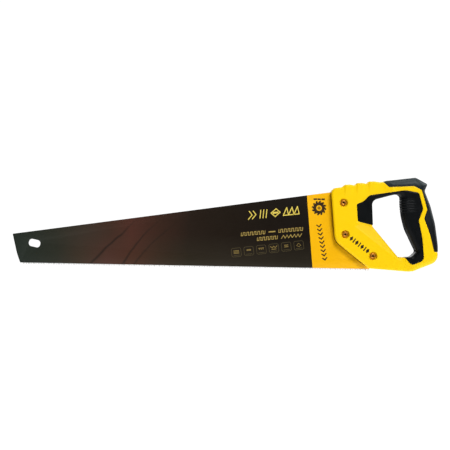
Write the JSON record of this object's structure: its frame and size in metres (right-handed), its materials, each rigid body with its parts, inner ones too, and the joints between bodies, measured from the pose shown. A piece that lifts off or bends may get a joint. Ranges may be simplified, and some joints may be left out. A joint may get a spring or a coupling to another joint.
{
  "type": "hand saw",
  "caption": "Hand saw with a tapered coated steel blade, a row of cross-cut teeth, a hanging slot in the toe and a closed plastic handle with rubber grips.",
  "frame": {"origin": "middle of the hand grip, on the blade's middle plane", "axes": "+X along the tooth line from the toe to the handle, +Y across the thickness away from the screw heads, +Z from the teeth to the back of the blade"},
  "size_m": [0.6079, 0.029, 0.1339],
  "materials": {
    "blade_coat": "dark non-stick coat with bright ground teeth, semi-gloss",
    "yellow_plastic": "moulded, semi-gloss",
    "black_rubber": "soft-touch, matt",
    "screw_steel": "plated, bright"
  },
  "bodies": {
    "root": {"blade": "blade_coat", "handle_body": "yellow_plastic", "finger_grip": "black_rubber", "palm_grip": "black_rubber", "upper_screw": "screw_steel", "middle_screw": "screw_steel", "lower_screw": "screw_steel", "upper_sleeve_nut": "screw_steel", "middle_sleeve_nut": "screw_steel", "lower_sleeve_nut": "screw_steel"}
  },
  "joints": []
}
